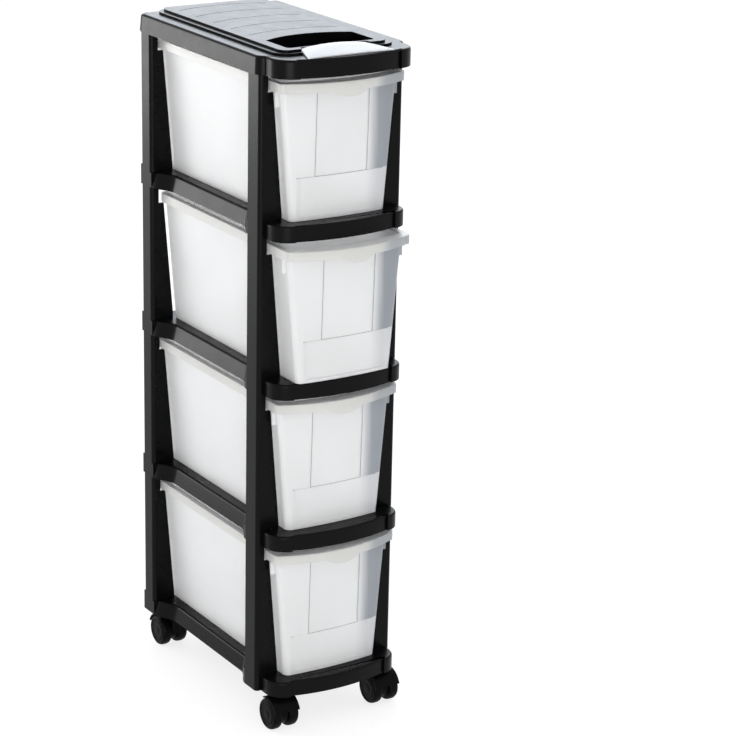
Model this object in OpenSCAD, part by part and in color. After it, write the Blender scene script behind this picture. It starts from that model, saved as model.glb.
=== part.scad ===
// Slim four-drawer storage tower on twin-wheel casters.
// Floor at z = 0, drawers open towards -Y, +X is to the right of someone facing them.
// Black moulded frames and posts plug together; the drawers are frosted tubs.

/* [Tower] */
// Width across the outer faces of the posts
tower_w = 195; // [185:1:230]
// Depth across the outer faces of the posts
tower_d = 293; // [270:1:340]
// Height of a post between two frames
post_h = 167; // [140:1:200]
// Height of a frame from its lower seam to its upper seam
band_h = 25.5; // [24:0.5:32]
// Wall thickness of the black mouldings
wall = 2.6; // [2.2:0.1:3.2]
// Rounding of the tower's upright corners
corner_r = 5; // [3.5:0.5:7]

/* [Posts] */
// Width of a post's side face
post_side = 27; // [22:1:34]
// Side of the square peg that plugs into the frames
peg = 8; // [6:0.5:8]
// Length of a peg beyond the end of its post
peg_len = 11.5; // [8:0.5:11.5]
// Clearance round a peg in its socket
peg_fit = 0.2; // [0.1:0.05:0.4]
// Gap between a post's inner edge and the drawer that passes it
post_gap = 2.5; // [1.5:0.1:3]

/* [Frames] */
// Drop of a frame's shelf below its upper seam
shelf_drop = 6; // [4:0.5:9]
// Reach of the front blocks in front of the posts
block_reach = 35; // [32:1:40]
// Half the width across the front blocks
block_half = 90; // [87:0.5:92]
// Radius of the front blocks' corners
block_r = 24; // [14:1:26]
// Set-back of the lip between the front blocks
lip_step = 3; // [1.5:0.5:4]
// Bow of that lip
lip_bow = 10; // [4:0.5:12]
// Half the width of that lip
lip_half = 68; // [60:1:72]
// Inset of the side rails at their foot
rail_inset = 13.5; // [6:0.5:15]
// Further inset of the rails' top edge, because they lean inwards
rail_lean = 5.5; // [0:0.5:6]
// Length of the curve from a front post to a rail
rail_curve = 34; // [20:1:45]
// Length of the curve from a rail to a rear post
rail_turn = 34; // [20:1:45]

/* [Top cover] */
// Overhang of the cover beyond the posts
cover_over = 2.5; // [1:0.5:5]
// Rounding of the cover's upright corners
cover_r = 12; // [8:0.5:12]
// Height of the cover's skirt
skirt_h = 22; // [20:0.5:30]
// Further reach of the cover in front of the blocks
cover_reach = 2.5; // [0:0.5:4]
// Height of the raised table on the cover
table_rise = 5; // [3:0.5:7]
// Width of the lower step round the table
table_step = 8; // [3:0.5:9]
// Half the width of the table
table_half = 72; // [68:1:80]
// Distance from the cover's rear edge to the table
table_rear = 8; // [8:1:24]
// Reach of the table in front of the posts
table_front = 6; // [4:0.5:10]
// Depth of the finger tray in the table
tray_depth = 17; // [10:0.5:18]
// Half the width of the tray
tray_half = 59; // [45:1:60]
// Length of the tray at its sides
tray_len = 50; // [35:1:60]
// Bow of the tray's rear edge
tray_bow = 16; // [8:1:22]
// Number of grooves across the table
grooves = 5; // [3:1:5]
// Spacing of the grooves
groove_pitch = 42.5; // [30:0.5:43]
// Width of a groove
groove_w = 1.2; // [0.8:0.1:2]
// Depth of a groove
groove_deep = 0.6; // [0.3:0.1:1]

/* [Grip] */
// Half the width of the grip at its front edge
grip_half = 58; // [45:1:62]
// Depth of the grip from front to rear
grip_len = 40; // [32:1:40]
// Height of the grip at mid width
grip_rise = 7; // [5:0.1:8]
// Diameter of the pegs under the grip
grip_peg_d = 5; // [4:0.5:6]
// Clearance round a grip peg
grip_fit = 0.15; // [0.1:0.05:0.3]

/* [Drawers] */
// Half the width of a drawer at its floor
tub_half_low = 65; // [58:0.5:66]
// Half the width of a drawer under its rim
tub_half_high = 79; // [72:0.5:79]
// Half the width of the rim
rim_half = 84.5; // [83:0.5:85]
// Gap between the rim and the frame above
rim_gap = 7.5; // [5:0.5:12]
// Depth of the rim's down-turned edge
rim_edge = 11; // [8:0.5:14]
// Depth of the pull at the middle of the front edge
pull_deep = 18; // [15:0.5:24]
// Half the width of the pull
pull_half = 36; // [25:1:45]
// Wall thickness of a drawer
tub_wall = 1.8; // [1.4:0.1:2.4]
// Reach of a drawer's front corners in front of the posts
tub_front = 17; // [12:1:22]
// Bow of a drawer's front
tub_bow = 9; // [5:0.5:12]
// Reach of the rim's front corners in front of the posts
rim_front = 25.5; // [24:0.5:30]
// Bow of the rim's front
rim_bow = 17; // [12:0.5:20]
// Height of the ledge across the front above the drawer's floor
ledge_h = 52; // [40:1:70]
// Half the width of that ledge
ledge_half = 58; // [50:1:60]
// Set-back of the front below the ledge
ledge_step = 1.4; // [0.8:0.1:2]
// Half the width of the panel above the ledge
panel_half = 35; // [28:1:42]
// Set-back of that panel
panel_step = 1.2; // [0.6:0.1:2]
// Gap between a drawer's floor and the shelf it slides on
slide_gap = 0.3; // [0.2:0.1:0.5]
// How far the second drawer from the top stands open
open_2 = 20; // [0:1:60]

/* [Casters] */
// Height of a caster from the floor to the base frame
caster_h = 46; // [44:0.5:60]
// Diameter of a wheel
wheel_d = 40; // [34:0.5:40]
// Width of one wheel
wheel_w = 12.8; // [9:0.1:15]
// Thickness of the web between the wheels
web_t = 9.4; // [9:0.1:11]
// Gap between a wheel and the web
wheel_gap = 0.5; // [0.3:0.1:1]
// Distance from the swivel axis back to the axle
trail = 14; // [10:0.5:16]
// Distance of a swivel axis from the tower's middle plane
caster_x = 73; // [65:0.5:76]
// Half the distance between the front and rear swivel axes
caster_y = 129; // [115:1:130]
// Diameter of the stem in its socket
stem_d = 8; // [6:0.5:9]
// Diameter of the swivel pin under the stem's collar
pin_d = 5; // [4:0.1:5.5]
// Diameter of the axle
axle_d = 4; // [3:0.1:5]
// Radial running clearance of wheels and swivel pins
run_fit = 0.08; // [0.04:0.01:0.1]
// Radial clearance of stems and axles in their seats
seat_fit = 0.02; // [0.01:0.01:0.05]

/* [Hidden] */
$fn = 48;
eps = 0.01;

black = [0.10, 0.10, 0.11];
frosted = [0.90, 0.91, 0.92, 0.7];
silver = [0.80, 0.81, 0.83];
steel = [0.60, 0.61, 0.63];

// Levels: tier 1 is the top drawer, tier 4 the bottom one
tiers = 4;
half_w = tower_w / 2;
half_d = tower_d / 2;
pitch = post_h + band_h;
base_top = caster_h + band_h;
cover_z = base_top + (tiers - 1) * pitch + post_h;
function post_z(tier) = base_top + (tiers - tier) * pitch;
function frame_z(level) = caster_h + level * pitch;

// Frames and cover
shelf_h = band_h - shelf_drop;
rail_end = half_d - post_side;
socket = peg + 2 * peg_fit;
socket_at = wall - peg_fit;
cover_rear = half_d + cover_over;
table_y0 = -(half_d + table_front);
table_y1 = cover_rear - table_rear;
table_r = 12;
table_back_step = 3;
tray_y0 = -half_d + 4;
tray_r = 5;
tray_arc = (tray_half * tray_half + tray_bow * tray_bow) / (2 * tray_bow);
groove_half = 61;
groove_bow = 12;
groove_r = (groove_half * groove_half + groove_bow * groove_bow) / (2 * groove_bow);
groove_first = 113;
rib_t = 2;

// Grip
grip_y1 = tray_y0 - wall - peg_fit;
grip_y0 = grip_y1 - grip_len;
grip_taper = 14;
grip_peg_x = 34;
grip_peg_len = wall + 3;
grip_edge = 1.2;
grip_front = 2;
grip_arch = grip_rise - grip_edge;
grip_round = (grip_half * grip_half + grip_arch * grip_arch) / (2 * grip_arch);

// Drawers
tub_z = slide_gap - shelf_drop;
rim_t = 2;
rim_top = post_h - rim_gap;
tub_high = rim_top - rim_t;
rear_gap = 4;
tub_rear = half_d - rear_gap;
foot_h = 4;
tub_r = 8;
rim_r = 7;
rim_corner_y = -(half_d + rim_front);
tub_corner_y = -(half_d + tub_front);
tab_t = 2.5;
tab_drop = 18;
tab_h = rim_edge + tab_drop;
tab_x0 = tub_half_low + 8;
tab_x1 = rim_half - 2;
notch_z = rim_top - rim_edge - post_gap;
notch_x = rim_half + post_gap;

// Casters
axle_z = wheel_d / 2;
caster_mid_y = -18.5;
collar_t = 2;
collar_d = stem_d + 6;
swivel_gap = 0.3;
cap_d = 20;
cap_t = 2.4;
housing_top = caster_h - collar_t - swivel_gap;
pin_len = 13;
boss_d = stem_d + 7;
stem_len = shelf_h - 4;
wheel_x = web_t / 2 + wheel_gap;
axle_end = 2;

// The origin lies under the middle of the tower's whole depth, open drawer included
front_reach = half_d + rim_front + rim_bow + open_2;
y_shift = (front_reach - cover_rear) / 2;

// An outline's helpers: a rounded rectangle and a circle's bulge over a chord
module rounded_plate(x0, x1, y0, y1, r) {
    translate([x0 + r, y0]) square([x1 - x0 - 2 * r, y1 - y0]);
    translate([x0, y0 + r]) square([x1 - x0, y1 - y0 - 2 * r]);
    for (x = [x0 + r, x1 - r], y = [y0 + r, y1 - r]) translate([x, y]) circle(r);
}

module bulge(half, depth, y) {
    radius = (half * half + depth * depth) / (2 * depth);
    intersection() {
        translate([0, y - depth + radius]) circle(radius, $fn = 180);
        translate([-half, y - depth - 1]) square([2 * half, depth + 1 + eps]);
    }
}

// Inset of a side rail's face at y, at its foot and at its top
function smooth(t) = let (u = min(1, max(0, t))) u * u * (3 - 2 * u);
function from_front(y) = smooth((rail_end + y) / rail_curve);
function foot_inset(y) = rail_inset * from_front(y) * smooth((rail_end - y) / rail_turn);
function top_inset(y) = foot_inset(y) + rail_lean * from_front(y);
curve_steps = 8;
rail_y = concat(
    [for (i = [0 : curve_steps]) -rail_end + rail_curve * i / curve_steps],
    [for (i = [0 : curve_steps]) rail_end - rail_turn * (1 - i / curve_steps)]
);

// What is cut from a frame's left side between its posts, o deeper for the hollow below
module scoop(o) {
    n = len(rail_y);
    last = n - 1;
    foot = 4;
    top = 4 + n;
    far = -half_w - 5;
    corners = [[far, -rail_end, -1], [far, rail_end, -1],
               [far, rail_end, shelf_h + 1], [far, -rail_end, shelf_h + 1]];
    feet = [for (y = rail_y) [-half_w + o + foot_inset(y), y, -1]];
    tops = [for (y = rail_y) [-half_w + o + top_inset(y), y, shelf_h + 1]];
    polyhedron(concat(corners, feet, tops), concat(
        [[0, 1, 2, 3], [0, 3, top, foot], [1, foot + last, top + last, 2]],
        [concat([0], [for (i = [0 : last]) foot + i], [1])],
        [concat([3, 2], [for (i = [last : -1 : 0]) top + i])],
        [for (i = [0 : last - 1]) each [[foot + i, top + i, top + i + 1],
                                        [foot + i, top + i + 1, foot + i + 1]]]
    ));
}

module scoops(o) {
    for (side = [0, 1]) mirror([side, 0, 0]) scoop(o);
}

// Plan of a frame or of the cover, grown by o on every side; reach is that of its front blocks
module frame_plan(o, reach = block_reach, r = corner_r) {
    side = half_w + o;
    step_x = lip_half + max(0, -o);
    front_y = -(half_d + reach) - o;
    rounded_plate(-side, side, -half_d - o, half_d + o, r + o);
    difference() {
        rounded_plate(-block_half - o, block_half + o, front_y, 0, block_r + o, $fn = 96);
        translate([-step_x, front_y - 1]) square([2 * step_x, lip_step + 1]);
    }
    bulge(lip_half, lip_bow, front_y + lip_step);
}

// Places a front-left piece at any corner: right ones are mirrored, rear ones only moved back
module corner(sx, sy) {
    translate([0, sy > 0 ? tower_d - post_side : 0, 0]) mirror([sx > 0 ? 1 : 0, 0, 0]) children();
}

module at_corners() {
    for (sx = [-1, 1], sy = [-1, 1]) corner(sx, sy) children();
}

// Square socket for a peg, and the block around it
module socket_block(height) {
    size = socket + 2 * rib_t;
    translate([-half_w + socket_at - rib_t, -half_d + socket_at - rib_t, 0]) cube([size, size, height]);
}

module socket_hole(height) {
    translate([-half_w + socket_at, -half_d + socket_at, -1]) cube([socket, socket, height + 2]);
}

// Angle section of a post in plan, and its front face in elevation
module angle_plan(width) {
    intersection() {
        rounded_plate(-half_w, half_w, -half_d, half_d, corner_r);
        union() {
            translate([-half_w, -half_d]) square([wall, post_side]);
            translate([-half_w, -half_d]) square([width, wall]);
            translate([-half_w, -half_d]) square([corner_r, corner_r]);
        }
    }
}

stub_w = half_w - tub_half_low - post_gap;

// A frame: shelf with a skirt round it, post stubs and sockets at its corners
module frame(z) {
    translate([0, y_shift, z]) difference() {
        union() {
            difference() {
                linear_extrude(shelf_h) frame_plan(0);
                scoops(0);
                difference() {
                    translate([0, 0, -1]) linear_extrude(shelf_h - wall + 1) frame_plan(-wall);
                    scoops(wall);
                }
            }
            at_corners() {
                linear_extrude(band_h) angle_plan(stub_w);
                intersection() {
                    socket_block(band_h);
                    linear_extrude(band_h) rounded_plate(-half_w, half_w, -half_d, half_d, corner_r);
                }
            }
        }
        at_corners() socket_hole(band_h);
    }
}

module shelf_frame(level) {
    color(black) frame(frame_z(level));
}

// Places a caster's pieces: front casters trail forwards, rear ones backwards
module caster_at(sx, sy) {
    translate([sx * caster_x, y_shift + caster_mid_y + sy * caster_y, 0])
        mirror([0, sy < 0 ? 1 : 0, 0]) children();
}

module base_frame() {
    color(black) difference() {
        union() {
            frame(caster_h);
            for (sx = [-1, 1], sy = [-1, 1]) caster_at(sx, sy)
                translate([0, 0, caster_h]) cylinder(h = shelf_h, d = boss_d);
        }
        for (sx = [-1, 1], sy = [-1, 1]) caster_at(sx, sy)
            translate([0, 0, caster_h - 1]) cylinder(h = stem_len + 1.5, d = stem_d + 2 * seat_fit);
    }
}

// A corner post: angle section with a square peg column in its corner
module post_face() {
    low = half_w - tub_half_low - post_gap;
    slope = (tub_half_high - tub_half_low) / (tub_high - tub_z);
    high = low - slope * notch_z;
    translate([-half_w, -half_d + wall, 0]) rotate([90, 0, 0]) linear_extrude(wall)
        polygon([[0, 0], [low, 0], [high, notch_z], [half_w - notch_x, notch_z],
                 [half_w - notch_x, post_h], [0, post_h]]);
}

module post(tier, sx, sy) {
    color(black) translate([0, y_shift, post_z(tier)]) intersection() {
        corner(sx, sy) {
            intersection() {
                union() {
                    post_face();
                    linear_extrude(post_h) angle_plan(corner_r);
                }
                linear_extrude(post_h) rounded_plate(-half_w, half_w, -half_d, half_d, corner_r);
            }
            translate([-half_w + wall - eps, -half_d + wall - eps, -peg_len])
                cube([peg, peg, post_h + 2 * peg_len]);
        }
        translate([0, 0, -peg_len]) linear_extrude(post_h + 2 * peg_len)
            rounded_plate(-half_w, half_w, -half_d, half_d, corner_r);
    }
}

// Finger tray in plan, shrunk by o: its rear edge is an arc
module tray_plan(o) {
    intersection() {
        rounded_plate(-tray_half + o, tray_half - o, tray_y0 + o, tray_y0 + tray_len + tray_bow, tray_r);
        translate([0, tray_y0 + tray_len + tray_bow - tray_arc]) circle(tray_arc - o, $fn = 180);
    }
}

module grip_plan(o) {
    polygon([[-grip_half - o, grip_y0 - o], [grip_half + o, grip_y0 - o],
             [grip_half - grip_taper + o, grip_y1 + o], [-grip_half + grip_taper - o, grip_y1 + o]]);
}

module table_plan(o) {
    back = o < 0 ? table_back_step : -o;
    rounded_plate(-table_half + o, table_half - o, table_y0 + o, table_y1 + back, table_r - o);
}

// Arcs across the table, bowed to the rear
module groove_rings() {
    for (i = [0 : grooves - 1]) intersection() {
        translate([0, groove_first - i * groove_pitch + groove_bow - groove_r]) difference() {
            circle(groove_r + groove_w / 2, $fn = 360);
            circle(groove_r - groove_w / 2, $fn = 360);
        }
        translate([-groove_half, groove_first - i * groove_pitch - 1])
            square([2 * groove_half, groove_bow + 4]);
    }
}

module top_cover() {
    top = skirt_h + table_rise;
    tray_floor = top - tray_depth;
    reach = block_reach + cover_reach;
    color(black) translate([0, y_shift, cover_z]) difference() {
        union() {
            difference() {
                union() {
                    linear_extrude(skirt_h) frame_plan(cover_over, reach, cover_r - cover_over);
                    difference() {
                        union() {
                            linear_extrude(top - table_rise / 2) table_plan(-table_step);
                            linear_extrude(top) table_plan(0);
                        }
                        translate([0, 0, -1]) linear_extrude(top + 2) grip_plan(peg_fit);
                    }
                }
                translate([0, 0, -1])
                    linear_extrude(skirt_h - wall + 1)
                        frame_plan(cover_over - wall, reach, cover_r - cover_over);
                translate([0, 0, skirt_h - wall - 1]) linear_extrude(table_rise + 1) difference() {
                    table_plan(wall);
                    grip_plan(peg_fit + wall);
                }
            }
            translate([0, 0, tray_floor - wall]) linear_extrude(top - tray_floor + wall) tray_plan(-wall);
            at_corners() intersection() {
                union() {
                    socket_block(skirt_h);
                    linear_extrude(skirt_h) angle_plan(stub_w);
                }
                linear_extrude(skirt_h) rounded_plate(-half_w, half_w, -half_d, half_d, corner_r);
            }
        }
        translate([0, 0, tray_floor]) linear_extrude(tray_depth + 1) tray_plan(0);
        translate([0, 0, top - groove_deep]) linear_extrude(groove_deep + 1) groove_rings();
        at_corners() translate([0, 0, -1]) socket_hole(peg_len);
        for (s = [-1, 1]) translate([s * grip_peg_x, (grip_y0 + grip_y1) / 2, skirt_h - wall - 1])
            cylinder(h = wall + 2, d = grip_peg_d + 2 * grip_fit);
    }
}

// Clip-on grip: low arch over the front edge, with two pegs through the cover
module grip() {
    mid_y = (grip_y0 + grip_y1) / 2;
    color(silver) translate([0, y_shift, cover_z + skirt_h]) {
        intersection() {
            linear_extrude(grip_rise) grip_plan(0);
            translate([0, grip_y1, grip_rise - grip_round]) rotate([90, 0, 0])
                cylinder(h = grip_len, r = grip_round, $fn = 360);
            translate([-grip_half, 0, 0]) rotate([90, 0, 90]) linear_extrude(2 * grip_half)
                polygon([[grip_y0, 0], [grip_y1, 0], [grip_y1, grip_rise],
                         [grip_y1 - grip_len / 3, grip_rise], [grip_y0, grip_front]]);
        }
        for (s = [-1, 1]) translate([s * grip_peg_x, mid_y, -grip_peg_len])
            cylinder(h = grip_peg_len + grip_edge, d = grip_peg_d);
    }
}

// Plan of a drawer at one level, with a bowed front
module tub_plan(half, corner_y, bow, rear, r) {
    rounded_plate(-half, half, corner_y, rear, r);
    bulge(half - r, bow, corner_y);
}

module tub_solid(o) {
    hull() {
        translate([0, 0, tub_z + o]) linear_extrude(eps)
            tub_plan(tub_half_low - o, tub_corner_y + o, tub_bow / 3, tub_rear - o, tub_r, $fn = 32);
        translate([0, 0, tub_high + (o > 0 ? rim_t + 1 : 0)]) linear_extrude(eps)
            tub_plan(tub_half_high - o, tub_corner_y + o, tub_bow, tub_rear - o, tub_r, $fn = 32);
    }
}

// What the front's set-backs take away: all below the ledge, and the panel above it.
// o is 0 on the outside and the wall's thickness on the inside.
module front_zone(half, z0, z1, fade) {
    translate([0, 0, z0]) linear_extrude(z1 - z0)
        polygon([[-half, rim_corner_y - rim_bow], [-half, tub_corner_y - 1],
                 [-half + fade, tub_corner_y + foot_h], [half - fade, tub_corner_y + foot_h],
                 [half, tub_corner_y - 1], [half, rim_corner_y - rim_bow]]);
}

module set_backs(o) {
    ledge_z = tub_z + ledge_h;
    difference() {
        front_zone(ledge_half + o, tub_z + foot_h - o, ledge_z + o, 18);
        tub_solid(ledge_step + o);
    }
    difference() {
        front_zone(panel_half + o, ledge_z - 1, rim_top + 2, 0.1);
        tub_solid(panel_step + o);
    }
}

module rim_plan(o) {
    tub_plan(rim_half - o, rim_corner_y + o, rim_bow, tub_rear, rim_r);
}

// The rim: flat flange, down-turned edge on three sides and a deeper pull in front
module rim() {
    translate([0, 0, rim_top - rim_t]) linear_extrude(rim_t) rim_plan(0);
    translate([0, 0, rim_top - rim_edge]) linear_extrude(rim_edge) difference() {
        rim_plan(0);
        rim_plan(tub_wall);
    }
    intersection() {
        translate([0, 0, rim_top - pull_deep]) linear_extrude(pull_deep) difference() {
            rim_plan(0);
            rim_plan(tub_wall);
        }
        pull_r = (pull_half * pull_half + pull_deep * pull_deep) / (2 * pull_deep);
        translate([0, -half_d, rim_top - pull_deep + pull_r]) rotate([90, 0, 0])
            cylinder(h = rim_front + rim_bow + 10, r = pull_r, $fn = 120);
    }
}

module drawer(tier) {
    open = tier == 2 ? open_2 : 0;
    color(frosted) translate([0, y_shift - open, post_z(tier)]) difference() {
        union() {
            difference() {
                tub_solid(0);
                set_backs(0);
            }
            difference() {
                rim();
                translate([0, 0, tub_z]) linear_extrude(rim_top - tub_z + 1)
                    tub_plan(tub_half_high - tub_wall, tub_corner_y + tub_wall, tub_bow,
                             tub_rear - tub_wall, tub_r);
            }
            for (s = [-1, 1]) translate([s > 0 ? tab_x0 : -tab_x1, tub_corner_y + tub_r, rim_top - tab_h])
                cube([tab_x1 - tab_x0, tab_t, tab_h - rim_t / 2]);
        }
        difference() {
            tub_solid(tub_wall);
            set_backs(tub_wall);
        }
    }
}

// Steel stem: pushed up into the base frame, with a collar and a swivel pin below it
module stem(sx, sy) {
    color(steel) caster_at(sx, sy) {
        translate([0, 0, caster_h]) cylinder(h = stem_len, d = stem_d);
        translate([0, 0, caster_h - collar_t]) cylinder(h = collar_t, d = collar_d);
        translate([0, 0, caster_h - collar_t - pin_len]) cylinder(h = pin_len, d = pin_d);
    }
}

// Housing: cap, web between the wheels and a hood over their treads
module housing(sx, sy) {
    hood_r = wheel_d / 2 + 0.8;
    hub_w = 2 * pin_d;
    color(black) caster_at(sx, sy) difference() {
        union() {
            translate([0, 0, housing_top - cap_t]) cylinder(h = cap_t, d = cap_d);
            translate([-web_t / 2, 0, 0]) rotate([90, 0, 90]) linear_extrude(web_t) difference() {
                union() {
                    translate([-hub_w / 2, axle_z - 2]) square([hub_w + 4, housing_top - axle_z + 2]);
                    translate([trail, axle_z]) circle(d = wheel_d - 10);
                }
                translate([-hub_w / 2 - 20, 0]) square([20, caster_h]);
                translate([0, housing_top]) square([2 * trail + wheel_d, caster_h]);
            }
            hood_w = 2 * (wheel_x + wheel_w) - 1;
            translate([-hood_w / 2, trail, axle_z]) rotate([90, 0, 90]) linear_extrude(hood_w)
                intersection() {
                    difference() {
                        circle(hood_r + 1.6, $fn = 96);
                        circle(hood_r, $fn = 96);
                    }
                    polygon([[0, 0], [-wheel_d / 2, wheel_d], [wheel_d, wheel_d], [wheel_d, wheel_d / 3]]);
                }
            translate([-web_t / 2, trail, axle_z]) rotate([90, 0, 90]) linear_extrude(web_t)
                intersection() {
                    circle(hood_r + 1, $fn = 96);
                    polygon([[0, 0], [-wheel_d / 2, wheel_d], [wheel_d, wheel_d], [wheel_d, wheel_d / 3]]);
                }
        }
        translate([0, 0, caster_h - collar_t - pin_len - 0.5])
            cylinder(h = pin_len + 1, d = pin_d + 2 * run_fit);
        translate([-web_t, trail, axle_z]) rotate([0, 90, 0])
            cylinder(h = 2 * web_t, d = axle_d + 2 * seat_fit);
    }
}

module axle(sx, sy) {
    half = wheel_x + wheel_w - axle_end - 1;
    color(steel) caster_at(sx, sy) translate([-half, trail, axle_z]) rotate([0, 90, 0])
        cylinder(h = 2 * half, d = axle_d);
}

// One wheel of a pair: blind bore on the inside, a shallow ring groove outside; side is -1 or 1
module wheel(sx, sy, side) {
    r = wheel_d / 2;
    edge = 2.5;
    groove = 1;
    color(black) caster_at(sx, sy) translate([side * wheel_x, trail, axle_z])
        rotate([0, side * 90, 0]) difference() {
            rotate_extrude($fn = 96) difference() {
                union() {
                    square([r - edge, wheel_w]);
                    translate([0, 1]) square([r, wheel_w - 1 - edge]);
                    square([r - 1, 2]);
                    translate([r - edge, wheel_w - edge]) circle(edge);
                }
                translate([r - 6, wheel_w - groove]) square([1.5, 2 * groove]);
            }
            translate([0, 0, -1]) cylinder(h = wheel_w - axle_end + 1, d = axle_d + 2 * run_fit);
        }
}

base_frame();
shelf_frame(3);  // shelf_frame_1
shelf_frame(2);  // shelf_frame_2
shelf_frame(1);  // shelf_frame_3
top_cover();
grip();
post(1, -1, -1);  // post_1_front_left
post(1, 1, -1);  // post_1_front_right
post(1, -1, 1);  // post_1_rear_left
post(1, 1, 1);  // post_1_rear_right
post(2, -1, -1);  // post_2_front_left
post(2, 1, -1);  // post_2_front_right
post(2, -1, 1);  // post_2_rear_left
post(2, 1, 1);  // post_2_rear_right
post(3, -1, -1);  // post_3_front_left
post(3, 1, -1);  // post_3_front_right
post(3, -1, 1);  // post_3_rear_left
post(3, 1, 1);  // post_3_rear_right
post(4, -1, -1);  // post_4_front_left
post(4, 1, -1);  // post_4_front_right
post(4, -1, 1);  // post_4_rear_left
post(4, 1, 1);  // post_4_rear_right
drawer(1);  // drawer_1
drawer(2);  // drawer_2
drawer(3);  // drawer_3
drawer(4);  // drawer_4
stem(-1, -1);  // stem_front_left
stem(1, -1);  // stem_front_right
stem(-1, 1);  // stem_rear_left
stem(1, 1);  // stem_rear_right
housing(-1, -1);  // housing_front_left
housing(1, -1);  // housing_front_right
housing(-1, 1);  // housing_rear_left
housing(1, 1);  // housing_rear_right
axle(-1, -1);  // axle_front_left
axle(1, -1);  // axle_front_right
axle(-1, 1);  // axle_rear_left
axle(1, 1);  // axle_rear_right
wheel(-1, -1, -1);  // wheel_front_left_a
wheel(-1, -1, 1);  // wheel_front_left_b
wheel(1, -1, -1);  // wheel_front_right_a
wheel(1, -1, 1);  // wheel_front_right_b
wheel(-1, 1, -1);  // wheel_rear_left_a
wheel(-1, 1, 1);  // wheel_rear_left_b
wheel(1, 1, -1);  // wheel_rear_right_a
wheel(1, 1, 1);  // wheel_rear_right_b
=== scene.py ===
# Slim four-drawer storage tower: black plug-together mouldings, frosted tubs, twin-wheel casters.
from math import cos, pi, radians, sin

import bmesh
import bpy
from mathutils import Matrix, Vector


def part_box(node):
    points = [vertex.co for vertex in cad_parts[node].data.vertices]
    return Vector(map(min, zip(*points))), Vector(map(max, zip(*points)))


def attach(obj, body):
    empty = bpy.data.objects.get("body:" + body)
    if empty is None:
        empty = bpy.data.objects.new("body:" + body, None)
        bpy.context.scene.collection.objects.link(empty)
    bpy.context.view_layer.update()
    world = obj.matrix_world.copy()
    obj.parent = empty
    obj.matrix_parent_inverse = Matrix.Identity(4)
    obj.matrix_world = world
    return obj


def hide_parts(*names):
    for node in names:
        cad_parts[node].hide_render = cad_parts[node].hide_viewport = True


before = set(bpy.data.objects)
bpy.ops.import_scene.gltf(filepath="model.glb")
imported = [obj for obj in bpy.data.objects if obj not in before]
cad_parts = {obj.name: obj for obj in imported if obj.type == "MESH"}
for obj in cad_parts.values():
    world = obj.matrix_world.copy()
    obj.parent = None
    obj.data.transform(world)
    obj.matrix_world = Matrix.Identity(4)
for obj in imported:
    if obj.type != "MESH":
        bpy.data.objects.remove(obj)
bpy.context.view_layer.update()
corners = ["front_left", "front_right", "rear_left", "rear_right"]


# ---- Caster stems and axles ----
# Bright zinc-plated steel pins, turned and cut to length. Each stem is pressed up into the base
# frame, each axle into its housing. Fine marks run round the stems and along the axles.
def steel(name, colour, roughness):
    """Zinc-plated steel: fine drawn-out marks in its tint, its gloss and its relief."""
    material = bpy.data.materials.new(name)
    material.use_nodes = True
    tree = material.node_tree
    shader = tree.nodes["Principled BSDF"]
    shader.inputs["Metallic"].default_value = 1.0
    place = tree.nodes.new("ShaderNodeTexCoord")
    stretch = tree.nodes.new("ShaderNodeMapping")
    stretch.inputs["Scale"].default_value = (300, 300, 4000)
    tree.links.new(place.outputs["Object"], stretch.inputs["Vector"])
    marks = tree.nodes.new("ShaderNodeTexNoise")
    marks.inputs["Scale"].default_value = 1.0
    marks.inputs["Detail"].default_value = 3.0
    tree.links.new(stretch.outputs["Vector"], marks.inputs["Vector"])
    tint = tree.nodes.new("ShaderNodeValToRGB")
    tint.color_ramp.elements[0].color = [c * 0.8 for c in colour] + [1]
    tint.color_ramp.elements[1].color = [*colour, 1]
    tree.links.new(marks.outputs["Fac"], tint.inputs["Fac"])
    tree.links.new(tint.outputs["Color"], shader.inputs["Base Color"])
    gloss = tree.nodes.new("ShaderNodeMapRange")
    gloss.inputs["To Min"].default_value = roughness - 0.08
    gloss.inputs["To Max"].default_value = roughness + 0.1
    tree.links.new(marks.outputs["Fac"], gloss.inputs["Value"])
    tree.links.new(gloss.outputs["Result"], shader.inputs["Roughness"])
    relief = tree.nodes.new("ShaderNodeBump")
    relief.inputs["Strength"].default_value = 0.25
    relief.inputs["Distance"].default_value = 0.00002
    tree.links.new(marks.outputs["Fac"], relief.inputs["Height"])
    tree.links.new(relief.outputs["Normal"], shader.inputs["Normal"])
    return material


zinc = steel("zinc_plated_steel", (0.62, 0.63, 0.65), 0.3)


def repaint(node, material):
    """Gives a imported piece, whose shape is right, its real finish."""
    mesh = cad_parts[node].data
    mesh.materials.clear()
    mesh.materials.append(material)


for corner in corners:
    repaint(f"stem_{corner}", zinc)
    repaint(f"axle_{corner}", zinc)


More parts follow.
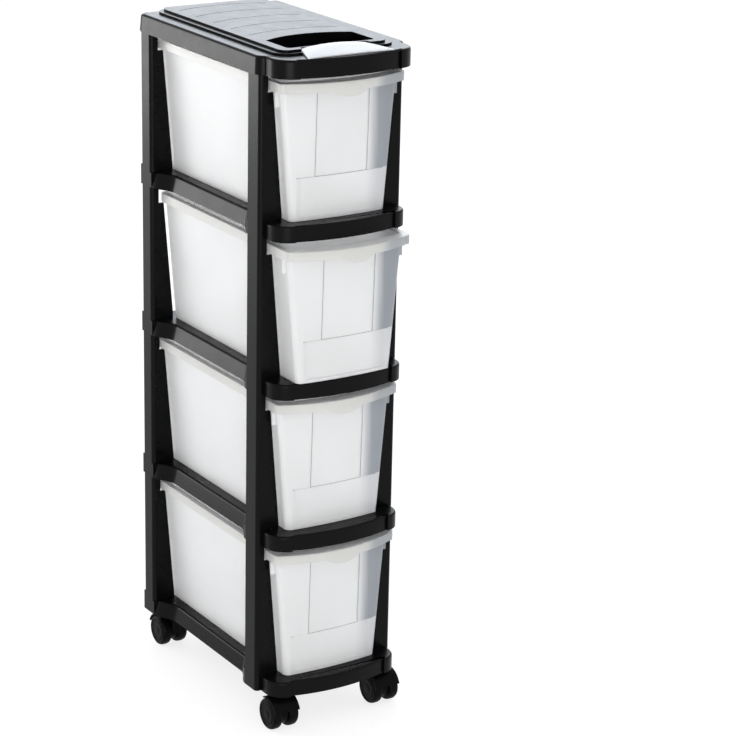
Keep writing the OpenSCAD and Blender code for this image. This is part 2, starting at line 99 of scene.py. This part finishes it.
# ---- Caster housings ----
# Black nylon mouldings: a cap over the swivel pin, a web between the wheels and a thin hood over
# their treads. The stem's pin turns in the cap, the axle is pressed through the web.
def plastic(name, colour, roughness, grain, level=0.15):
    """Moulded plastic: spark-eroded grain, faint flow clouds, and polish worn onto the edges."""
    material = bpy.data.materials.new(name)
    material.use_nodes = True
    tree = material.node_tree
    shader = tree.nodes["Principled BSDF"]
    shader.inputs["IOR"].default_value = 1.5
    shader.inputs["Specular IOR Level"].default_value = level
    place = tree.nodes.new("ShaderNodeTexCoord")

    def noise(scale, detail):
        texture = tree.nodes.new("ShaderNodeTexNoise")
        texture.inputs["Scale"].default_value = scale
        texture.inputs["Detail"].default_value = detail
        tree.links.new(place.outputs["Object"], texture.inputs["Vector"])
        return texture.outputs["Fac"]

    clouds = noise(9.0, 4.0)
    tint = tree.nodes.new("ShaderNodeValToRGB")
    tint.color_ramp.elements[0].position = 0.3
    tint.color_ramp.elements[0].color = [c * 0.82 for c in colour] + [1]
    tint.color_ramp.elements[1].position = 0.7
    tint.color_ramp.elements[1].color = [c * 1.15 for c in colour] + [1]
    tree.links.new(clouds, tint.inputs["Fac"])
    edge = tree.nodes.new("ShaderNodeAttribute")
    edge.attribute_name = "edge"
    worn = tree.nodes.new("ShaderNodeMath")
    worn.operation = "MULTIPLY"
    tree.links.new(edge.outputs["Fac"], worn.inputs[0])
    tree.links.new(noise(120.0, 3.0), worn.inputs[1])
    rub = tree.nodes.new("ShaderNodeMix")
    rub.data_type = "RGBA"
    rub.inputs["B"].default_value = [min(1, c * 1.6 + 0.006) for c in colour] + [1]
    tree.links.new(worn.outputs[0], rub.inputs["Factor"])
    tree.links.new(tint.outputs["Color"], rub.inputs["A"])
    tree.links.new(rub.outputs["Result"], shader.inputs["Base Color"])
    gloss = tree.nodes.new("ShaderNodeMapRange")
    gloss.inputs["From Min"].default_value = 0.3
    gloss.inputs["From Max"].default_value = 0.7
    gloss.inputs["To Min"].default_value = roughness - 0.015
    gloss.inputs["To Max"].default_value = roughness + 0.02
    tree.links.new(noise(55.0, 2.0), gloss.inputs["Value"])
    tree.links.new(gloss.outputs["Result"], shader.inputs["Roughness"])
    relief = tree.nodes.new("ShaderNodeBump")
    relief.inputs["Strength"].default_value = 0.6
    relief.inputs["Distance"].default_value = grain
    tree.links.new(noise(1500.0, 2.0), relief.inputs["Height"])
    tree.links.new(relief.outputs["Normal"], shader.inputs["Normal"])
    return material


caster_black = plastic("caster_nylon", (0.002, 0.002, 0.0022), 0.4, 0.00002, 0.05)


def joined_copy(node):
    """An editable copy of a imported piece's mesh: doubles merged, flat faces made whole."""
    shape = bmesh.new()
    shape.from_mesh(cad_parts[node].data)
    bmesh.ops.remove_doubles(shape, verts=shape.verts, dist=2e-6)
    bmesh.ops.dissolve_limit(shape, angle_limit=radians(0.6), verts=shape.verts, edges=shape.edges)
    return shape


def finish_piece(shape, name, node, body, material, edge=0.0006, steps=2):
    """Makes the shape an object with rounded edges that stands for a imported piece."""
    mesh = bpy.data.meshes.new(name)
    shape.to_mesh(mesh)
    shape.free()
    piece = bpy.data.objects.new(name, mesh)
    bpy.context.scene.collection.objects.link(piece)
    mesh.materials.clear()
    mesh.materials.append(material)
    mesh.materials.append(material)  # marks the rounded edges, until they are stored as "edge"
    for face in mesh.polygons:
        face.use_smooth = True
        face.material_index = 0
    rounding = piece.modifiers.new("rounded_edges", "BEVEL")
    rounding.width = edge
    rounding.segments = steps
    rounding.limit_method = "ANGLE"
    rounding.angle_limit = radians(32)
    rounding.material = 1
    flats = piece.modifiers.new("flat_faces", "WEIGHTED_NORMAL")
    flats.weight = 60
    solid = bpy.data.meshes.new_from_object(
        piece.evaluated_get(bpy.context.evaluated_depsgraph_get()))
    piece.modifiers.clear()
    piece.data = solid
    solid.name = name
    worn = solid.attributes.new("edge", "FLOAT", "FACE")
    worn.data.foreach_set("value", [float(face.material_index) for face in solid.polygons])
    solid.polygons.foreach_set("material_index", [0] * len(solid.polygons))
    solid.materials.pop()
    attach(piece, body)
    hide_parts(node)
    return piece


for corner in corners:
    finish_piece(joined_copy(f"housing_{corner}"), f"caster_housing_{corner}", f"housing_{corner}",
                 f"swivel_{corner}", caster_black, 0.0005)

# ---- Caster wheels ----
# Pairs of hard black nylon discs with a slightly crowned tread, a sunk ring and a hub dome on the
# outer side. Each turns freely on the end of the axle.
wheel_black = plastic("wheel_nylon", (0.0022, 0.0022, 0.0024), 0.42, 0.00002, 0.05)


def turned(profile, steps, centre, along):
    """Spins a closed profile of (distance along the axle, radius) round the axle."""
    shape = bmesh.new()
    rings = []
    for x, r in profile:
        if r < 1e-6:
            rings.append([shape.verts.new(centre + Vector((along * x, 0, 0)))] * steps)
            continue
        rings.append([
            shape.verts.new(centre + Vector((along * x, r * cos(2 * pi * i / steps),
                                             r * sin(2 * pi * i / steps))))
            for i in range(steps)
        ])
    for inner, outer in zip(rings, rings[1:] + rings[:1]):
        for i in range(steps):
            loop = [inner[i], inner[(i + 1) % steps], outer[(i + 1) % steps], outer[i]]
            loop = [v for k, v in enumerate(loop) if v not in loop[:k]]
            if len(loop) > 2 and shape.faces.get(loop) is None:
                shape.faces.new(loop)
    bmesh.ops.remove_doubles(shape, verts=shape.verts, dist=1e-6)
    bmesh.ops.recalc_face_normals(shape, faces=shape.faces)
    return shape


wheel_profile = [
    (0.0, 0.0022), (0.0, 0.0170), (0.0006, 0.0186), (0.0018, 0.0195), (0.0036, 0.0199),
    (0.0062, 0.0200), (0.0088, 0.0199), (0.0104, 0.0195), (0.0118, 0.0186), (0.0125, 0.0174),
    (0.0127, 0.0160), (0.0126, 0.0154), (0.0119, 0.0151), (0.0116, 0.0146), (0.0116, 0.0134),
    (0.0119, 0.0130), (0.0125, 0.0127), (0.0126, 0.0120), (0.0124, 0.0090), (0.0122, 0.0066),
    (0.0124, 0.0060), (0.0127, 0.0050), (0.0128, 0.0030), (0.0128, 0.0), (0.0108, 0.0),
    (0.0108, 0.0021), (0.0010, 0.0021),
]
for corner in corners:
    for side, turn in (("a", -1), ("b", 1)):
        node = f"wheel_{corner}_{side}"
        low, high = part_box(node)
        axle_low, axle_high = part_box(f"axle_{corner}")
        outward = 1 if low.x + high.x > axle_low.x + axle_high.x else -1
        hub = (low + high) / 2
        hub.x = low.x if outward > 0 else high.x
        wheel = turned(wheel_profile, 72, hub, outward)
        finish_piece(wheel, f"caster_{node}", node, f"spin_{corner}_{side}", wheel_black,
                     0.0002, 1)

# ---- Base frame and shelf frames ----
# Black injection-moulded trays of impact-modified polypropylene with a skirt all round. Posts plug
# into their corner sockets from above, and into those of the shelf frames from below too.
gloss_black = plastic("moulded_black", (0.002, 0.002, 0.0023), 0.28, 0.000004, 0.09)
shelf_height, lip_rounding = 0.0195, 0.0028


def outer_top_edges(shape, height):
    """The edges of a moulding where its outer wall meets its top face at one height."""
    found = []
    for edge in shape.edges:
        if len(edge.link_faces) != 2 or not edge.is_convex:
            continue
        if any(abs(end.co.z - height) > 1e-5 for end in edge.verts):
            continue
        tilts = sorted(abs(face.normal.z) for face in edge.link_faces)
        if tilts[0] < 0.4 and tilts[1] > 0.99:
            found.append(edge)
    return found


def round_over(shape, edges, radius, steps=4):
    """Gives chosen edges a large rounding."""
    bmesh.ops.bevel(shape, geom=edges, offset=radius, offset_type="OFFSET", segments=steps,
                    profile=0.5, affect="EDGES", clamp_overlap=False)


for node in ["base_frame", "shelf_frame_1", "shelf_frame_2", "shelf_frame_3"]:
    shape = joined_copy(node)
    round_over(shape, outer_top_edges(shape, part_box(node)[0].z + shelf_height), lip_rounding)
    finish_piece(shape, f"moulded_{node}", node, "root", gloss_black, 0.0008, 3)

# ---- Corner posts ----
# Angle mouldings of the same black plastic with a square peg at each end, pushed into the frames
# and the cover. Their front leaf follows the slope of the drawer beside it.
for tier in (4, 3, 2, 1):
    for corner in corners:
        node = f"post_{tier}_{corner}"
        finish_piece(joined_copy(node), f"moulded_{node}", node, "root", gloss_black,
                     0.0007, 2)


# ---- Drawers ----
# Frosted polypropylene tubs, injection moulded in one piece with a flat rim, a deeper pull at the
# middle of the front edge and stop tabs. They stand loose on the shelves. Painted shade darkens
# the rim, thin lines along the front's steps, and the front's right-hand side, where a dark post
# shows through.
def frosted_plastic(name, colour, roughness, clear):
    """Milky translucent polypropylene with a fine matt grain inside and out."""
    material = bpy.data.materials.new(name)
    material.use_nodes = True
    tree = material.node_tree
    shader = tree.nodes["Principled BSDF"]
    shader.inputs["IOR"].default_value = 1.45
    shader.inputs["Transmission Weight"].default_value = clear
    place = tree.nodes.new("ShaderNodeTexCoord")
    haze = tree.nodes.new("ShaderNodeTexNoise")
    haze.inputs["Scale"].default_value = 14.0
    haze.inputs["Detail"].default_value = 4.0
    tree.links.new(place.outputs["Object"], haze.inputs["Vector"])
    tint = tree.nodes.new("ShaderNodeValToRGB")
    tint.color_ramp.elements[0].position = 0.25
    tint.color_ramp.elements[0].color = [c * 0.97 for c in colour] + [1]
    tint.color_ramp.elements[1].position = 0.75
    tint.color_ramp.elements[1].color = [min(1, c * 1.02) for c in colour] + [1]
    tree.links.new(haze.outputs["Fac"], tint.inputs["Fac"])
    # Painted shade: tones stored on the drawer darken its colour on the rim, along the steps and
    # on the right.
    shade_paint = tree.nodes.new("ShaderNodeAttribute")
    shade_paint.attribute_name = "painted_drawer_shade"
    shaded = tree.nodes.new("ShaderNodeMix")
    shaded.data_type = "RGBA"
    shaded.blend_type = "MULTIPLY"
    shaded.inputs["Factor"].default_value = 1.0
    tree.links.new(tint.outputs["Color"], shaded.inputs["A"])
    tree.links.new(shade_paint.outputs["Color"], shaded.inputs["B"])
    tree.links.new(shaded.outputs["Result"], shader.inputs["Base Color"])
    gloss = tree.nodes.new("ShaderNodeMapRange")
    gloss.inputs["From Min"].default_value = 0.3
    gloss.inputs["From Max"].default_value = 0.7
    gloss.inputs["To Min"].default_value = roughness - 0.02
    gloss.inputs["To Max"].default_value = roughness + 0.02
    tree.links.new(haze.outputs["Fac"], gloss.inputs["Value"])
    tree.links.new(gloss.outputs["Result"], shader.inputs["Roughness"])
    grain = tree.nodes.new("ShaderNodeTexNoise")
    grain.inputs["Scale"].default_value = 1400.0
    grain.inputs["Detail"].default_value = 2.0
    tree.links.new(place.outputs["Object"], grain.inputs["Vector"])
    relief = tree.nodes.new("ShaderNodeBump")
    relief.inputs["Strength"].default_value = 0.3
    relief.inputs["Distance"].default_value = 0.00001
    tree.links.new(grain.outputs["Fac"], relief.inputs["Height"])
    tree.links.new(relief.outputs["Normal"], shader.inputs["Normal"])
    return material


frosted = frosted_plastic("frosted_polypropylene", (0.965, 0.968, 0.972), 0.33, 0.52)
ledge_height, ledge_half, panel_half, rim_depth, shade_line = 0.052, 0.058, 0.035, 0.0115, 0.0009
pull_extra, pull_reach, fade_width = 0.01, 0.006, 0.015
# Painted shade: thin lines along the front's steps are darkened where the steps cast shadow lines.
plain_tone, step_shade = (1.0, 1.0, 1.0), (0.36, 0.37, 0.38)
# Painted shade: the front and its rim darken towards the right, where a dark post shows through.
# Painted shade: the rim band is darker and beige, where its thicker plastic lets less light
# through.
rim_shade, rim_post_shade = (0.78, 0.78, 0.75), (0.5, 0.52, 0.54)
upper_post_shade, lower_post_shade = (0.36, 0.39, 0.43), (0.78, 0.79, 0.81)


def cut_along(shape, wanted, planes):
    """Cuts the wanted faces of a shape along planes of (point, normal)."""
    for point, normal in planes:
        faces = [face for face in shape.faces if wanted(face)]
        edges = dict.fromkeys(edge for face in faces for edge in face.edges)
        ends = dict.fromkeys(end for face in faces for end in face.verts)
        bmesh.ops.bisect_plane(shape, geom=[*faces, *edges, *ends], plane_co=point,
                               plane_no=normal, dist=1e-6)


def shade_line_planes(low):
    """The planes on both sides of the shade line under the ledge and of those beside the panel."""
    levels = [low.z + ledge_height, low.z + ledge_height - shade_line]
    sides = [panel_half, panel_half + shade_line, -panel_half, -panel_half - shade_line]
    return [((0, 0, z), (0, 0, 1)) for z in levels] + [((x, 0, 0), (1, 0, 0)) for x in sides]


def paint_drawer_shade(piece, low, high):
    """Paints shade on the rim, along the front's steps and on the front's right-hand side."""
    mesh = piece.data
    marks = mesh.attributes.new("painted_drawer_shade", "FLOAT_COLOR", "CORNER")
    ledge, rim = low.z + ledge_height, high.z - rim_depth
    tones = []
    for face in mesh.polygons:
        middle, front = face.center, face.normal.y < -0.6
        beside_panel = ledge < middle.z < rim and panel_half < abs(middle.x) < panel_half + shade_line
        under_ledge = ledge - shade_line < middle.z < ledge and abs(middle.x) < ledge_half + 0.001
        pull = middle.z > rim - pull_extra and middle.y < low.y + pull_reach
        near, far = plain_tone, plain_tone
        # Painted shade along the front's steps.
        if front and (beside_panel or under_ledge):
            near, far = step_shade, step_shade
        # Painted shade on the rim band.
        elif abs(face.normal.z) < 0.5 and (middle.z > rim or pull):
            near, far = rim_shade, rim_post_shade
        # Painted shade towards the right, where the dark post behind shows through the front.
        elif front:
            far = upper_post_shade if middle.z > ledge else lower_post_shade
        for corner in face.vertices:
            side = (mesh.vertices[corner].co.x - panel_half) / fade_width
            side = min(1, max(0, side))
            tones += [n + (f - n) * side for n, f in zip(near, far)] + [1.0]
    marks.data.foreach_set("color", tones)


for tier in (4, 3, 2, 1):
    node = f"drawer_{tier}"
    low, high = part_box(node)
    shape = joined_copy(node)
    # The front is cut into thin strips along its steps to carry the painted shade lines.
    cut_along(shape, lambda face: face.normal.y < -0.7, shade_line_planes(low))
    drawer = finish_piece(shape, f"frosted_{node}", node, f"{node}_body", frosted,
                          0.0005, 2)
    paint_drawer_shade(drawer, low, high)

# ---- Top cover ----
# One black moulding pushed down over the upper posts: a skirt, a rounded ledge, a raised table
# with a double step round it and shallow arcs across it, and a finger tray at the front.
skirt_height, skirt_rounding, skirt_flare = 0.022, 0.0034, 0.0018
flare_start, flare_run = -0.12, 0.04
shape = joined_copy("top_cover")
skirt_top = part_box("top_cover")[0].z + skirt_height
# The flat ledge is cut up first: filled as one ring, it would reach across the finger tray.
ledge_cuts = [((0, -0.112, 0), (0, 1, 0)), ((0, 0.1, 0), (0, 1, 0)), ((0, 0, 0), (1, 0, 0))]
cut_along(
    shape,
    lambda face: face.normal.z > 0.99 and abs(face.calc_center_median().z - skirt_top) < 1e-5,
    ledge_cuts)
ledge = outer_top_edges(shape, skirt_top)
# Behind the front the ledge is drawn in, so that the skirt flares towards its foot.
pulled = {}
for edge in ledge:
    for end in edge.verts:
        for face in edge.link_faces:
            if abs(face.normal.z) < 0.05:
                pulled.setdefault(end, Vector((0, 0, 0)))
                pulled[end] += face.normal
for end, outward in pulled.items():
    fade = min(1, max(0, (end.co.y - flare_start) / flare_run))
    end.co -= outward.normalized() * skirt_flare * fade
round_over(shape, ledge, skirt_rounding, 5)
finish_piece(shape, "moulded_top_cover", "top_cover", "root", gloss_black,
             0.0011, 3)

# ---- Grip ----
# A moulding clipped over the cover's front edge with two pegs. Its light silver-grey colour is a
# painted reflection: it stands in for the bright sheen on the sloped front of the black cover.
painted_grip_sheen = plastic("painted_grip_sheen_plastic", (0.45, 0.46, 0.475), 0.3, 0.00001, 0.4)
finish_piece(joined_copy("grip"), "front_grip", "grip", "root", painted_grip_sheen, 0.0006)

# ---- Studio ----
# A pale seamless floor, soft panels behind and to the left that show as sheen on the black
# plastic, and a soft fill from the front. The lens matches the photograph's view.
def white_where_seen(tree, lit, glow):
    """Shows the glow where a surface is seen straight, mirrored or through, and else lights it."""
    path = tree.nodes.new("ShaderNodeLightPath")
    direct = tree.nodes.new("ShaderNodeMath")
    direct.operation = "MAXIMUM"
    tree.links.new(path.outputs["Is Camera Ray"], direct.inputs[0])
    tree.links.new(path.outputs["Is Glossy Ray"], direct.inputs[1])
    seen = tree.nodes.new("ShaderNodeMath")
    seen.operation = "MAXIMUM"
    tree.links.new(direct.outputs[0], seen.inputs[0])
    tree.links.new(path.outputs["Is Transmission Ray"], seen.inputs[1])
    blend = tree.nodes.new("ShaderNodeMixShader")
    tree.links.new(seen.outputs[0], blend.inputs["Fac"])
    tree.links.new(lit, blend.inputs[1])
    tree.links.new(glow, blend.inputs[2])
    return blend.outputs[0]


floor_mesh = bpy.data.meshes.new("studio_floor")
floor_mesh.from_pydata([(-30, -30, 0), (30, -30, 0), (30, 30, 0), (-30, 30, 0)], [],
                       [(0, 1, 2, 3)])
floor = bpy.data.objects.new("studio_floor", floor_mesh)
bpy.context.scene.collection.objects.link(floor)
paper = bpy.data.materials.new("white_paper")
paper.use_nodes = True
tree = paper.node_tree
sheet = tree.nodes["Principled BSDF"]
sheet.inputs["Base Color"].default_value = (0.85, 0.85, 0.85, 1)
sheet.inputs["Roughness"].default_value = 0.9
sheet.inputs["Specular IOR Level"].default_value = 0.1
shine = tree.nodes.new("ShaderNodeEmission")
shine.inputs["Strength"].default_value = 1.1
lifted = tree.nodes.new("ShaderNodeMixShader")
lifted.inputs["Fac"].default_value = 0.7
tree.links.new(sheet.outputs[0], lifted.inputs[1])
tree.links.new(shine.outputs[0], lifted.inputs[2])
tree.links.new(white_where_seen(tree, sheet.outputs[0], lifted.outputs[0]),
               tree.nodes["Material Output"].inputs["Surface"])
floor_mesh.materials.append(paper)

world = bpy.data.worlds.new("studio")
bpy.context.scene.world = world
world.use_nodes = True
sky = world.node_tree
sky.nodes["Background"].inputs["Color"].default_value = (1, 1, 1, 1)
sky.nodes["Background"].inputs["Strength"].default_value = 1.0


def panel(name, place, target, wide, high, power, colour=(1, 1, 1)):
    """A rectangular soft light aimed at a point."""
    lamp = bpy.data.lights.new(name, "AREA")
    lamp.shape = "RECTANGLE"
    lamp.size, lamp.size_y = wide, high
    lamp.energy = power
    lamp.color = colour
    lamp_object = bpy.data.objects.new(name, lamp)
    bpy.context.scene.collection.objects.link(lamp_object)
    lamp_object.location = place
    aim = Vector(target) - Vector(place)
    lamp_object.rotation_euler = aim.to_track_quat("-Z", "Y").to_euler()
    lamp_object.visible_camera = False
    lamp_object.visible_transmission = False


panel("panel_behind", (1.5, 2.6, 2.0), (0, 0, 0.7), 2.6, 1.7, 44, (0.84, 0.91, 1.0))
panel("panel_left", (-1.3, 1.5, 0.03), (-1.25, 1.42, 1.0), 1.5, 2.2, 6)
panel("panel_side", (-1.5, 2.3, 0.6), (-0.1, 0, 0.8), 1.2, 0.9, 24)
panel("panel_front", (-1.8, -2.9, 0.8), (0, 0, 0.4), 1.8, 1.4, 48)

lens_px, picture_px, sensor_mm = 2550.6, 736, 36
yaw, pitch, roll = radians(32.885), radians(18.595), radians(1.246)
eye_place = (-1.5338, -2.5762, 1.4263)
forward = Vector((sin(yaw) * cos(pitch), cos(yaw) * cos(pitch), -sin(pitch)))
level = Vector((cos(yaw), -sin(yaw), 0))
above = level.cross(forward)
right = level * cos(roll) + above * sin(roll)
up = above * cos(roll) - level * sin(roll)
eye = bpy.data.cameras.new("camera")
eye.sensor_width = sensor_mm
eye.lens = lens_px / picture_px * sensor_mm
camera = bpy.data.objects.new("camera", eye)
bpy.context.scene.collection.objects.link(camera)
camera.matrix_world = Matrix.Translation(eye_place) @ Matrix(
    (right, up, -forward)).transposed().to_4x4()
bpy.context.scene.camera = camera
bpy.context.scene.view_settings.view_transform = "Standard"
